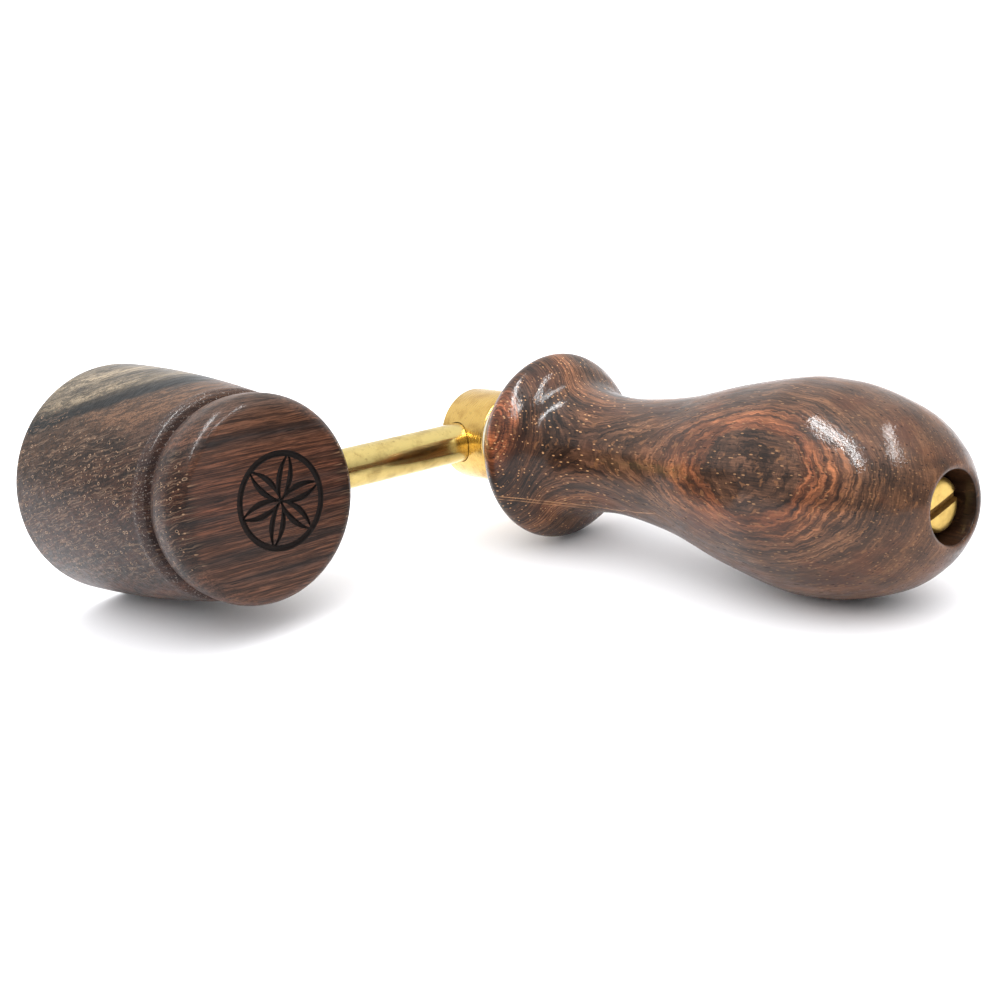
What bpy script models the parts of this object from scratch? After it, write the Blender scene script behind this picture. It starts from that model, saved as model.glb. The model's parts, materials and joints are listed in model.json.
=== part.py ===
"""A hand crank for a clamp screw: a turned hardwood hub on a brass core, a round brass arm, a brass
collar and a turned hardwood grip that spins on a long slotted screw.

It lies as it lies on a bench: on the hub's back rim, the grip's flange and the grip's belly.
Metres, +Z up. The hub's engraved head and the end of the grip face -Y, and the arm runs towards +X.

Each piece is first placed in the crank's own frame, which the empty "crank" carries: the arm runs
along X from the hub's axis, and the grip's axis is parallel to Z, one arm length out.
"""

import math

import bmesh
import bpy
from mathutils import Matrix, Vector

MM = 0.001

# The arm and the two axes.
ARM_LENGTH = 62.0 * MM  # from the hub's axis to the grip's axis
ARM_RADIUS = 4.0 * MM
ARM_INNER_END = -6.0 * MM
HUB_TWIST = math.radians(2.0)  # the hub sits turned this much on the round arm

# The turned hub, measured along its axis from the middle of the arm.
HUB_BACK = -42.0 * MM
HUB_BACK_RADIUS = 22.7 * MM
HUB_MIDDLE_RADIUS = 21.9 * MM
SHOULDER = -1.4 * MM
SHOULDER_RADIUS = 19.8 * MM
COVE_RADIUS = 17.6 * MM
HEAD_WIDEST = 7.8 * MM
HEAD_RADIUS = 19.35 * MM
HEAD_FACE = 12.3 * MM
HEAD_FACE_RADIUS = 16.4 * MM

# The brass core in the hub, with the screw thread that the crank turns.
CORE_RADIUS = 8.0 * MM
CORE_TOP = 6.0 * MM
THREAD_RADIUS = 5.0 * MM
THREAD_END = -14.0 * MM
GRUB_RADIUS = 3.0 * MM

# The collar on the end of the arm.
COLLAR_RADIUS = 9.25 * MM
COLLAR_BACK = -4.8 * MM
COLLAR_FRONT = 8.2 * MM
COLLAR_BORE_BOTTOM = -2.6 * MM

# The grip and the screw that it turns on.
WASHER_THICKNESS = 1.7 * MM
WASHER_RADIUS = 9.4 * MM
GRIP_LENGTH = 104.4 * MM
GRIP_BORE = 3.9 * MM
RECESS_RADIUS = 6.2 * MM
RECESS_DEPTH = 6.6 * MM
AXLE_RADIUS = 2.5 * MM
SCREW_HEAD_RADIUS = 4.65 * MM
SCREW_HEAD_HEIGHT = 3.0 * MM
SLOT_WIDTH = 1.7 * MM
SLOT_DEPTH = 1.3 * MM
SLOT_TURN = math.radians(16.0)
BUSH_LENGTH = 9.0 * MM
HEAD_WASHER_THICKNESS = 0.8 * MM

GAP = 0.25 * MM  # between pieces that are glued, pressed or screwed together
SEAM = 0.12 * MM  # where the arm enters the collar
RUNNING = 0.09 * MM  # between the axle and the bushes, on the radius
END_PLAY = 0.3 * MM

# The grip's outline: distance from its back face as a share of its length, and radius.
GRIP_OUTLINE = [
    (0.000, 9.4 * MM),
    (0.018, 11.8 * MM),
    (0.052, 15.1 * MM),
    (0.098, 18.18 * MM),
    (0.140, 16.3 * MM),
    (0.176, 13.0 * MM),
    (0.235, 11.5 * MM),
    (0.320, 11.2 * MM),
    (0.450, 12.9 * MM),
    (0.580, 16.25 * MM),
    (0.700, 18.55 * MM),
    (0.760, 18.75 * MM),
    (0.825, 18.0 * MM),
    (0.912, 15.2 * MM),
    (0.965, 11.5 * MM),
    (0.994, 8.1 * MM),
    (1.000, 6.9 * MM),
]
GRIP_BACK = COLLAR_FRONT + WASHER_THICKNESS + 2 * END_PLAY
GRIP_FRONT = GRIP_BACK + GRIP_LENGTH
RECESS_FLOOR = GRIP_FRONT - RECESS_DEPTH

FINE_STEPS = 48
SMALL_STEPS = 32


def clear_scene():
    for old in list(bpy.data.objects):
        bpy.data.objects.remove(old)


def new_collection(name, hidden=False):
    made = bpy.data.collections.new(name)
    made.hide_render = hidden
    bpy.context.scene.collection.children.link(made)
    return made


def new_empty(name, parent=None, location=(0, 0, 0)):
    empty = bpy.data.objects.new(name, None)
    empty.parent = parent
    empty.location = location
    PARTS.objects.link(empty)
    return empty


def new_material(name, colour, roughness, metallic=0.0):
    made = bpy.data.materials.new(name)
    made.use_nodes = True
    shader = made.node_tree.nodes["Principled BSDF"]
    shader.inputs["Base Color"].default_value = (*colour, 1.0)
    shader.inputs["Roughness"].default_value = roughness
    shader.inputs["Metallic"].default_value = metallic
    return made


def turned(name, outline, parent, material=None, steps=SMALL_STEPS, ring=False):
    """A turned piece about its own Z. The outline is (radius, height) from the top down its outer side."""
    shape = bmesh.new()
    points = [shape.verts.new((radius, 0.0, height)) for radius, height in outline]
    for first, second in zip(points, points[1:]):
        shape.edges.new((first, second))
    if ring:
        shape.edges.new((points[-1], points[0]))
    mesh = bpy.data.meshes.new(name)
    shape.to_mesh(mesh)
    shape.free()
    piece = bpy.data.objects.new(name, mesh)
    piece.parent = parent
    screw = piece.modifiers.new("turn", "SCREW")
    screw.axis = "Z"
    screw.steps = steps
    screw.render_steps = steps
    screw.use_merge_vertices = True
    screw.merge_threshold = 0.00001
    screw.use_smooth_shade = True
    if material:
        mesh.materials.append(material)
        PARTS.objects.link(piece)
    else:
        piece.hide_render = True
        piece.display_type = "WIRE"
        CUTTERS.objects.link(piece)
    return piece


def cylinder_outline(radius, bottom, top, edge=0.0):
    """Half the section of a plain cylinder, with a small chamfer at both edges if edge isn't 0."""
    if edge == 0.0:
        return [(0.0, top), (radius, top), (radius, bottom), (0.0, bottom)]
    return [
        (0.0, top),
        (radius - edge, top),
        (radius, top - edge),
        (radius, bottom + edge),
        (radius - edge, bottom),
        (0.0, bottom),
    ]


def tube_outline(radius, bore, bottom, top):
    """The section of a tube as a closed ring."""
    return [(bore, top), (radius, top), (radius, bottom), (bore, bottom)]


def cut(piece, cutter):
    boolean = piece.modifiers.new("cut_" + cutter.name, "BOOLEAN")
    boolean.operation = "DIFFERENCE"
    boolean.object = cutter
    boolean.solver = "EXACT"


def along_arm(piece, x=0.0):
    """Turns a piece that was made along Z so that it lies along the arm."""
    piece.rotation_euler = (0.0, math.radians(90.0), 0.0)
    piece.location = (x, 0.0, 0.0)


def smooth_outline(knots, pieces):
    """Points on a smooth curve through the knots, each (height, radius), as a Catmull-Rom spline."""
    ends = [knots[0], *knots, knots[-1]]
    points = []
    for before, start, end, after in zip(ends, ends[1:], ends[2:], ends[3:]):
        for step in range(pieces):
            t = step / pieces
            points.append(
                tuple(
                    0.5
                    * (
                        2 * b
                        + (c - a) * t
                        + (2 * a - 5 * b + 4 * c - d) * t**2
                        + (3 * b - a - 3 * c + d) * t**3
                    )
                    for a, b, c, d in zip(before, start, end, after)
                )
            )
    points.append(knots[-1])
    return points


def hub_outline():
    """Half the hub's section, from the middle of the engraved face down to the middle of the back."""
    outline = [(0.0, HEAD_FACE)]
    rise = HEAD_FACE - HEAD_WIDEST
    for degrees in range(90, -1, -18):
        angle = math.radians(degrees)
        radius = HEAD_FACE_RADIUS + (HEAD_RADIUS - HEAD_FACE_RADIUS) * math.cos(angle)
        outline.append((radius, HEAD_WIDEST + rise * math.sin(angle)))
    cove = 1.6 * MM
    fall = HEAD_WIDEST - cove
    for degrees in (25, 50, 70, 85):
        angle = math.radians(degrees)
        radius = COVE_RADIUS + (HEAD_RADIUS - COVE_RADIUS) * math.cos(angle)
        outline.append((radius, HEAD_WIDEST - fall * math.sin(angle)))
    outline.append((COVE_RADIUS, 0.6 * MM))
    outline.append((SHOULDER_RADIUS - 0.9 * MM, 0.0))
    outline.append((SHOULDER_RADIUS - 0.25 * MM, SHOULDER + 0.5 * MM))
    length = SHOULDER - HUB_BACK
    bulge = HUB_MIDDLE_RADIUS - (SHOULDER_RADIUS + HUB_BACK_RADIUS) / 2
    for step in range(9):
        t = step / 8
        radius = SHOULDER_RADIUS + (HUB_BACK_RADIUS - SHOULDER_RADIUS) * t
        radius += 4 * bulge * t * (1 - t)
        outline.append((radius, SHOULDER - length * t * 0.98))
    edge = 0.02 * length
    outline.append((HUB_BACK_RADIUS - edge, HUB_BACK))
    outline.append((0.0, HUB_BACK))
    return outline


def make_hub(frame):
    hub = turned("hub", hub_outline(), frame, HUB_WOOD, FINE_STEPS)
    socket = turned(
        "hub_socket_cutter",
        cylinder_outline(CORE_RADIUS + GAP, HUB_BACK - 2 * MM, CORE_TOP + GAP),
        frame,
        steps=SMALL_STEPS + 8,
    )
    arm_hole = turned(
        "hub_arm_hole_cutter",
        cylinder_outline(ARM_RADIUS + GAP, CORE_RADIUS / 2, HUB_BACK_RADIUS + 4 * MM),
        frame,
    )
    along_arm(arm_hole)
    cut(hub, socket)
    cut(hub, arm_hole)
    return hub


def make_hub_core(frame):
    """The core is a solid bar with the clamp screw's thread, a grub screw's hole and the arm's cross hole."""
    core = turned(
        "hub_core",
        cylinder_outline(CORE_RADIUS, HUB_BACK, CORE_TOP, edge=0.5 * MM),
        frame,
        CORE_BRASS,
        SMALL_STEPS + 8,
    )
    thread = turned(
        "core_thread_cutter",
        [
            (0.0, THREAD_END + THREAD_RADIUS / 2),
            (GRUB_RADIUS + GAP, THREAD_END + THREAD_RADIUS / 4),
            (THREAD_RADIUS, THREAD_END),
            (THREAD_RADIUS, HUB_BACK + 1.0 * MM),
            (THREAD_RADIUS + 3.0 * MM, HUB_BACK - 2.0 * MM),
            (0.0, HUB_BACK - 2.0 * MM),
        ],
        frame,
    )
    grub_hole = turned(
        "core_grub_cutter",
        cylinder_outline(GRUB_RADIUS + GAP, THREAD_END - 1 * MM, -ARM_RADIUS / 2),
        frame,
        steps=24,
    )
    arm_hole = turned(
        "core_arm_hole_cutter",
        cylinder_outline(ARM_RADIUS + GAP, ARM_INNER_END - GAP, CORE_RADIUS + 2 * MM),
        frame,
    )
    along_arm(arm_hole)
    for cutter in (thread, grub_hole, arm_hole):
        cut(core, cutter)
    return core


def make_grub_screw(frame):
    """The steel grub screw that holds the arm in the core, turned by a hexagon key through the thread."""
    top = -ARM_RADIUS - GAP
    bottom = top - 7.0 * MM
    grub = turned(
        "arm_grub_screw",
        cylinder_outline(GRUB_RADIUS, bottom, top, edge=0.4 * MM),
        frame,
        SCREW_STEEL,
        24,
    )
    key_hole = turned(
        "grub_key_cutter",
        cylinder_outline(1.7 * MM, bottom - 1.0 * MM, bottom + 3.0 * MM),
        frame,
        steps=6,
    )
    cut(grub, key_hole)
    return grub


def make_arm(frame):
    arm = turned(
        "arm",
        cylinder_outline(
            ARM_RADIUS,
            ARM_INNER_END,
            ARM_LENGTH - AXLE_RADIUS - 1.4 * MM,
            edge=0.3 * MM,
        ),
        frame,
        ARM_BRASS,
    )
    along_arm(arm)
    return arm


def make_collar(axis):
    collar = turned(
        "collar",
        cylinder_outline(COLLAR_RADIUS, COLLAR_BACK, COLLAR_FRONT, edge=0.45 * MM),
        axis,
        COLLAR_BRASS,
        FINE_STEPS,
    )
    bore = turned(
        "collar_bore_cutter",
        cylinder_outline(AXLE_RADIUS + SEAM, COLLAR_BORE_BOTTOM, COLLAR_FRONT + 2 * MM),
        axis,
        steps=24,
    )
    arm_hole = turned(
        "collar_arm_hole_cutter",
        cylinder_outline(ARM_RADIUS + SEAM, AXLE_RADIUS + 1.1 * MM, COLLAR_RADIUS + 3 * MM),
        axis,
    )
    arm_hole.rotation_euler = (0.0, math.radians(-90.0), 0.0)
    cut(collar, bore)
    cut(collar, arm_hole)
    return collar


def make_thrust_washer(axis):
    bottom = COLLAR_FRONT + END_PLAY
    outline = tube_outline(
        WASHER_RADIUS, AXLE_RADIUS + 0.3 * MM, bottom, bottom + WASHER_THICKNESS
    )
    return turned("thrust_washer", outline, axis, WASHER_NYLON, FINE_STEPS, ring=True)


def grip_outline():
    """The grip's whole section as a ring: recess, outside from the front to the back, and bore."""
    knots = [(share * GRIP_LENGTH, radius) for share, radius in GRIP_OUTLINE]
    outside = [(r, GRIP_BACK + z) for z, r in smooth_outline(knots, 2)]
    outside.reverse()
    lip = 0.3 * MM
    return [
        (GRIP_BORE, RECESS_FLOOR),
        (RECESS_RADIUS, RECESS_FLOOR),
        (RECESS_RADIUS, GRIP_FRONT - lip),
        *outside,
        (GRIP_BORE, GRIP_BACK),
    ]


def make_grip(axis):
    return turned("grip", grip_outline(), axis, GRIP_WOOD, FINE_STEPS, ring=True)


def make_bush(name, bottom, axis):
    outline = tube_outline(
        GRIP_BORE - GAP, AXLE_RADIUS + RUNNING, bottom, bottom + BUSH_LENGTH
    )
    return turned(name, outline, axis, BUSH_BRASS, SMALL_STEPS, ring=True)


def make_head_washer(axis):
    bottom = RECESS_FLOOR + END_PLAY
    outline = tube_outline(
        SCREW_HEAD_RADIUS + 0.8 * MM,
        AXLE_RADIUS + 0.3 * MM,
        bottom,
        bottom + HEAD_WASHER_THICKNESS,
    )
    return turned("head_washer", outline, axis, HEAD_WASHER_BRASS, SMALL_STEPS, ring=True)


def make_axle_screw(axis):
    """The slotted pan-head screw: its head sits in the recess and its end is screwed into the collar."""
    under_head = RECESS_FLOOR + 2 * END_PLAY + HEAD_WASHER_THICKNESS
    top = under_head + SCREW_HEAD_HEIGHT
    screw = turned(
        "axle_screw",
        [
            (0.0, top),
            (SCREW_HEAD_RADIUS - 0.9 * MM, top),
            (SCREW_HEAD_RADIUS - 0.3 * MM, top - 0.25 * MM),
            (SCREW_HEAD_RADIUS, top - 0.9 * MM),
            (SCREW_HEAD_RADIUS, under_head),
            (AXLE_RADIUS, under_head),
            (AXLE_RADIUS, COLLAR_BORE_BOTTOM + GAP + 0.5 * MM),
            (AXLE_RADIUS - 0.5 * MM, COLLAR_BORE_BOTTOM + GAP),
            (0.0, COLLAR_BORE_BOTTOM + GAP),
        ],
        axis,
        AXLE_BRASS,
    )
    slot_mesh = bpy.data.meshes.new("slot_cutter")
    shape = bmesh.new()
    bmesh.ops.create_cube(shape, size=1.0)
    size = Vector((4 * SCREW_HEAD_RADIUS, SLOT_WIDTH, 2 * SLOT_DEPTH))
    bmesh.ops.scale(shape, vec=size, verts=shape.verts)
    shape.to_mesh(slot_mesh)
    shape.free()
    slot = bpy.data.objects.new("slot_cutter", slot_mesh)
    slot.parent = axis
    slot.location = (0.0, 0.0, top)
    slot.rotation_euler = (0.0, 0.0, SLOT_TURN)
    slot.hide_render = True
    slot.display_type = "WIRE"
    CUTTERS.objects.link(slot)
    cut(screw, slot)
    return screw


def hub_axis():
    return Matrix.Rotation(-HUB_TWIST, 3, "X") @ Vector((0.0, 0.0, 1.0))


def widest(outline):
    """Where a stretch of the grip's outline is widest, as the circle (centre, axis, radius) there."""
    share, radius = max(outline, key=lambda knot: knot[1])
    centre = Vector((ARM_LENGTH, 0.0, GRIP_BACK + share * GRIP_LENGTH))
    return centre, Vector((0.0, 0.0, 1.0)), radius


def touching_circles():
    """The three circles that the crank lies on: the hub's back rim, the grip's flange and its belly."""
    hub = hub_axis()
    rim = 0.98 * HUB_BACK + 0.02 * SHOULDER
    flange = [knot for knot in GRIP_OUTLINE if knot[0] < 0.3]
    belly = [knot for knot in GRIP_OUTLINE if knot[0] > 0.3]
    return [(hub * rim, hub, HUB_BACK_RADIUS), widest(flange), widest(belly)]


def resting_up():
    """The direction that points up when the crank lies on the three circles, in its own frame."""
    up = Vector((0.0, 1.0, 0.0))
    for _ in range(30):
        lowest = []
        for centre, axis, radius in touching_circles():
            down = axis * up.dot(axis) - up
            lowest.append(centre + down.normalized() * radius)
        back_rim, flange, belly = lowest
        up = (flange - back_rim).cross(belly - back_rim).normalized()
        up *= math.copysign(1.0, up.y)
    return up


def lay_down(crank):
    """Turns the crank so that it rests on the floor, the arm towards +X, and puts the middle of its
    footprint at the origin."""
    up = resting_up()
    arm = Vector((1.0, 0.0, 0.0))
    right = (arm - up * arm.dot(up)).normalized()
    away = up.cross(right)
    crank.matrix_world = Matrix((right, away, up)).to_4x4()
    bpy.context.view_layer.update()
    graph = bpy.context.evaluated_depsgraph_get()
    corners = []
    for piece in PARTS.objects:
        if piece.type != "MESH":
            continue
        solid = piece.evaluated_get(graph)
        corners += [solid.matrix_world @ vertex.co for vertex in solid.data.vertices]
    low = Vector([min(corner[side] for corner in corners) for side in range(3)])
    high = Vector([max(corner[side] for corner in corners) for side in range(3)])
    crank.location = (-(low.x + high.x) / 2, -(low.y + high.y) / 2, -low.z)
    bpy.context.view_layer.update()


clear_scene()
PARTS = new_collection("clamp_crank")
CUTTERS = new_collection("cutters", hidden=True)

HUB_WOOD = new_material("hub_wood", (0.115, 0.060, 0.038), 0.42)
GRIP_WOOD = new_material("grip_wood", (0.150, 0.072, 0.040), 0.35)
CORE_BRASS = new_material("core_brass", (0.68, 0.48, 0.20), 0.35, 1.0)
SCREW_STEEL = new_material("screw_steel", (0.30, 0.30, 0.31), 0.45, 1.0)
ARM_BRASS = new_material("arm_brass", (0.74, 0.54, 0.21), 0.22, 1.0)
COLLAR_BRASS = new_material("collar_brass", (0.74, 0.54, 0.21), 0.24, 1.0)
WASHER_NYLON = new_material("washer_nylon", (0.62, 0.60, 0.54), 0.5)
BUSH_BRASS = new_material("bush_brass", (0.66, 0.48, 0.22), 0.35, 1.0)
HEAD_WASHER_BRASS = new_material("head_washer_brass", (0.60, 0.44, 0.20), 0.35, 1.0)
AXLE_BRASS = new_material("axle_brass", (0.78, 0.60, 0.24), 0.22, 1.0)

CRANK = new_empty("crank")
HUB_FRAME = new_empty("hub_frame", CRANK)
HUB_FRAME.rotation_euler = (-HUB_TWIST, 0.0, 0.0)
GRIP_AXIS = new_empty("grip_axis", CRANK, (ARM_LENGTH, 0.0, 0.0))

make_hub(HUB_FRAME)
make_hub_core(HUB_FRAME)
make_grub_screw(HUB_FRAME)
make_arm(CRANK)
make_collar(GRIP_AXIS)
make_thrust_washer(GRIP_AXIS)
make_grip(GRIP_AXIS)
make_bush("bush_back", GRIP_BACK + 0.6 * MM, GRIP_AXIS)
make_bush("bush_front", RECESS_FLOOR - 0.6 * MM - BUSH_LENGTH, GRIP_AXIS)
make_head_washer(GRIP_AXIS)
make_axle_screw(GRIP_AXIS)
lay_down(CRANK)
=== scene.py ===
"""The looks of a clamp's hand crank: turned rosewood hub and grip, brass arm, collar and screw.

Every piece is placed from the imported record: its mount gives the hub's axis and back, its joint the
grip's axis. Lengths are in millimetres times MM, so in metres.
"""

import json
import math
from collections import namedtuple

import bmesh
import bpy
from mathutils import Matrix, Vector


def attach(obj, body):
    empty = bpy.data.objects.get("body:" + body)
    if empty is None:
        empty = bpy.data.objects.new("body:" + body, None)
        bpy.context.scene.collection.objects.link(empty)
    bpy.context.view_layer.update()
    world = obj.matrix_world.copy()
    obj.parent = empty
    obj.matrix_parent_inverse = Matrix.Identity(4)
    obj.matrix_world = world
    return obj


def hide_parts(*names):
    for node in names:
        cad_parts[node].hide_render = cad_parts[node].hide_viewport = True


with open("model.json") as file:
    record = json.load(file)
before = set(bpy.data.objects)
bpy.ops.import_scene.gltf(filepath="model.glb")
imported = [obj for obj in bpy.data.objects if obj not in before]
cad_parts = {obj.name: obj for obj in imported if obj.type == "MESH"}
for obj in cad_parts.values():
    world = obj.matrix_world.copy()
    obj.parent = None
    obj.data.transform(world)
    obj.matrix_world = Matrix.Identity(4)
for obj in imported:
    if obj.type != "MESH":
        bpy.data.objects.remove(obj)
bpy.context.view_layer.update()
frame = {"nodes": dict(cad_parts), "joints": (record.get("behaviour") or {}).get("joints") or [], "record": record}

MM = 0.001
# How many sides the turned pieces have.
HUB_STEPS = 224
GRIP_STEPS = 256
COLLAR_STEPS = 160
WASHER_STEPS = 128
SMALL_STEPS = 96
SHARP_ANGLE = math.radians(32.0)
MERGE_DISTANCE = 0.001 * MM
# How much smaller a turned piece is made, so that its many facets stay inside the CAD's few.
FACET_ALLOWANCE = 0.012 * MM
# The gap between pieces that are glued or screwed together, and the play of those that turn.
GAP = 0.25 * MM
END_PLAY = 0.3 * MM

# The hub, measured along its axis from the middle of the arm.
HUB_BACK = -42.0 * MM
HUB_BACK_RADIUS = 22.7 * MM
HUB_MIDDLE_RADIUS = 21.9 * MM
BACK_EDGE_SHARE = 0.02
SHOULDER = -1.4 * MM
SHOULDER_RADIUS = 19.8 * MM
SHOULDER_LIP = 0.45 * MM
SHOULDER_ROUNDING = 1.5 * MM
COVE_RADIUS = 17.6 * MM
COVE_TOP = 1.7 * MM
GROOVES = 3
GROOVE_START = 0.18 * MM
GROOVE_STEP = 0.34 * MM
GROOVE_DEPTH = 0.10 * MM
RIDGE_HEIGHT = 0.02 * MM
HEAD_WIDEST = 7.8 * MM
HEAD_RADIUS = 19.35 * MM
HEAD_FACE = 12.3 * MM
HEAD_FACE_RADIUS = 16.4 * MM
FACE_BORDER = 0.3 * MM
MOUNT_OFF_AXIS = 17.3 * MM
HUB_HOLE_START = 4.0 * MM
HUB_HOLE_END = 27.0 * MM

# The brass core in the hub, with a thread for the clamp's screw.
CORE_RADIUS = 8.0 * MM
CORE_TOP = 6.0 * MM
CORE_EDGE = 0.4 * MM
SOCKET_CHAMFER = 0.3 * MM
THREAD_RADIUS = 5.0 * MM
THREAD_PITCH = 1.5 * MM
THREAD_DEPTH = 0.8 * MM
THREAD_CHAMFER = 1.0 * MM
THREAD_START = HUB_BACK + 1.1 * MM
THREAD_END = -14.0 * MM
THREAD_ROWS = 150
THREAD_RUNOUT = 0.2 * MM
DRILL_POINT = 2.5 * MM

# The rosette that is cut in the hub's face.
ROSETTE_MIDDLE = (2.2 * MM, -0.3 * MM)
ROSETTE_RADIUS = 8.6 * MM
ROSETTE_TURN = 12.0
ROSETTE_PETALS = 6
ARC_STEPS = 22
RING_STEPS = 96
RING_LINE = 1.1 * MM
THIN_LINE = 0.35 * MM
LINE_SWELL = 0.75 * MM
CUT_RISE = 0.35 * MM
CUT_DEPTH = 0.55 * MM
# A cut line's section: shares of its width across, and heights over the face.
CUT_SECTION = [(-0.625, CUT_RISE), (0.625, CUT_RISE), (0.4, -CUT_DEPTH), (-0.4, -CUT_DEPTH)]

# The arm, the collar on its end, and the screw and washers that hold the grip.
ARM_LENGTH = 62.0 * MM
ARM_RADIUS = 4.0 * MM
ARM_EDGE = 0.3 * MM
ARM_INNER_END = -6.0 * MM
ARM_OUTER_END = 58.1 * MM
HUB_HOLE_RADIUS = ARM_RADIUS + 0.1 * MM
CORE_HOLE_RADIUS = ARM_RADIUS + 0.05 * MM
COLLAR_HOLE_RADIUS = ARM_RADIUS + 0.12 * MM
COLLAR_HOLE_DEPTH = 3.6 * MM
COLLAR_RADIUS = 9.25 * MM
COLLAR_BACK = -4.8 * MM
COLLAR_FRONT = 8.2 * MM
COLLAR_EDGE = 0.45 * MM
COLLAR_BORE_END = -2.6 * MM
COLLAR_HOLE_REACH = 2.75 * MM
COLLAR_BORE_REACH = 1.8 * MM
# How far a cutter reaches out of the piece.
REACH = 2.0 * MM
AXLE_RADIUS = 2.5 * MM
AXLE_END = -2.35 * MM
AXLE_CHAMFER = 0.5 * MM
COLLAR_BORE_RADIUS = AXLE_RADIUS + 0.12 * MM
WASHER_BORE_RADIUS = AXLE_RADIUS + 0.3 * MM
WASHER_THICKNESS = 1.7 * MM
WASHER_RADIUS = 9.4 * MM
WASHER_EDGE = 0.25 * MM
SCREW_HEAD_RADIUS = 4.65 * MM
SCREW_HEAD_HEIGHT = 3.0 * MM
CROWN_RADIUS = SCREW_HEAD_RADIUS - 1.6 * MM
CROWN_FLAT = 1.4 * MM
CROWN_FALL = 0.04 * MM
CROWN_ROUNDING = 1.1 * MM
SLOT_WIDTH = 1.7 * MM
SLOT_DEPTH = 1.3 * MM
SLOT_TURN = math.radians(16.0)
HEAD_WASHER_THICKNESS = 0.8 * MM
HEAD_WASHER_RADIUS = SCREW_HEAD_RADIUS + 0.8 * MM
HEAD_WASHER_EDGE = 0.2 * MM

# The grip, with a recess for the screw's head.
GRIP_LENGTH = 104.4 * MM
GRIP_BORE = 3.9 * MM
RECESS_RADIUS = 6.2 * MM
RECESS_DEPTH = 6.6 * MM
RECESS_EDGE = 0.3 * MM
GRIP_BACK = COLLAR_FRONT + WASHER_THICKNESS + 2 * END_PLAY
GRIP_FRONT = GRIP_BACK + GRIP_LENGTH
RECESS_FLOOR = GRIP_FRONT - RECESS_DEPTH

# The grip's outline: share of its length from the back, and radius in millimetres.
GRIP_OUTLINE = [
    (0.000, 9.4), (0.018, 11.8), (0.052, 15.1), (0.098, 18.18), (0.140, 16.3), (0.176, 13.0),
    (0.235, 11.5), (0.320, 11.2), (0.450, 12.9), (0.580, 16.25), (0.700, 18.55), (0.760, 18.75),
    (0.825, 18.0), (0.912, 15.2), (0.965, 11.5), (0.994, 8.1), (1.000, 6.9),
]


# Places ---------------------------------------------------


def placed(x_axis, z_axis, origin):
    """A frame with these two axes at right angles, as a matrix."""
    y_axis = z_axis.cross(x_axis)
    made = Matrix((x_axis, y_axis, z_axis)).transposed().to_4x4()
    made.translation = origin
    return made


def read_frames():
    """The hub's, the arm's and the grip's frames: X runs along the arm, Z towards the grip's end."""
    mount = next(m for m in frame["record"]["mounts"] if m["name"] == "hub_back_face")
    spin = next(j for j in frame["joints"] if j["name"] == "grip_spin")
    hub_axis = -Vector(mount["axis"]).normalized()
    grip_axis = Vector(spin["axis"]).normalized()
    along = hub_axis.cross(grip_axis).normalized()
    hub_up = hub_axis.cross(along)
    origin = Vector(mount["pos_m"]) - hub_up * MOUNT_OFF_AXIS - hub_axis * HUB_BACK
    hub = placed(along, hub_axis, origin)
    crank = placed(along, grip_axis, origin)
    grip = placed(along, grip_axis, origin + along * ARM_LENGTH)
    return hub, crank, grip


HUB, CRANK, GRIP = read_frames()
ALONG_ARM = Matrix.Rotation(math.radians(90.0), 4, "Y")


# Meshes ---------------------------------------------------


def new_piece(name, vertices, faces, material, place):
    """A mesh in one material, moved from its own frame to its place in the scene."""
    mesh = bpy.data.meshes.new(name)
    mesh.from_pydata(vertices, [], faces)
    mesh.materials.append(material)
    mesh.transform(place)
    piece = bpy.data.objects.new(name, mesh)
    bpy.context.scene.collection.objects.link(piece)
    return piece


def smooth(piece):
    """Smooth shading, with the edges kept sharp where the surface turns a lot."""
    mesh = piece.data
    mesh.polygons.foreach_set("use_smooth", [True] * len(mesh.polygons))
    mesh.set_sharp_from_angle(angle=SHARP_ANGLE)


def turned(name, outline, material, place, steps, ring=False, reshape=None):
    """A piece turned about its Z. The outline is (radius, height) from the top down the outer side.
    A ring's outline closes on itself, and reshape(radius, height, angle) gives the radius where
    it isn't the same all round."""
    vertices = []
    rows = []
    for radius, height in outline:
        if radius == 0.0:
            rows.append([len(vertices)] * (steps + 1))
            vertices.append((0.0, 0.0, height))
            continue
        start = len(vertices)
        rows.append([start + step % steps for step in range(steps + 1)])
        for step in range(steps):
            angle = math.tau * step / steps
            here = reshape(radius, height, angle) if reshape else radius
            here -= FACET_ALLOWANCE
            vertices.append((here * math.cos(angle), here * math.sin(angle), height))
    pairs = list(zip(rows, rows[1:]))
    if ring:
        pairs.append((rows[-1], rows[0]))
    return new_piece(name, vertices, row_faces(pairs, steps), material, place)


def row_faces(pairs, steps):
    """The faces between pairs of rows of corners. A row may be one corner over and over."""
    faces = []
    for upper, lower in pairs:
        for step in range(steps):
            corners = [upper[step], lower[step], lower[step + 1], upper[step + 1]]
            faces.append(tuple(dict.fromkeys(corners)))
    return faces


def clean(mesh):
    """Merges corners that all but touch, and drops the slivers between them."""
    shape = bmesh.new()
    shape.from_mesh(mesh)
    bmesh.ops.remove_doubles(shape, verts=shape.verts, dist=MERGE_DISTANCE)
    bmesh.ops.triangulate(shape, faces=shape.faces)
    bmesh.ops.dissolve_degenerate(shape, edges=shape.edges, dist=MERGE_DISTANCE)
    shape.to_mesh(mesh)
    shape.free()


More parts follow.
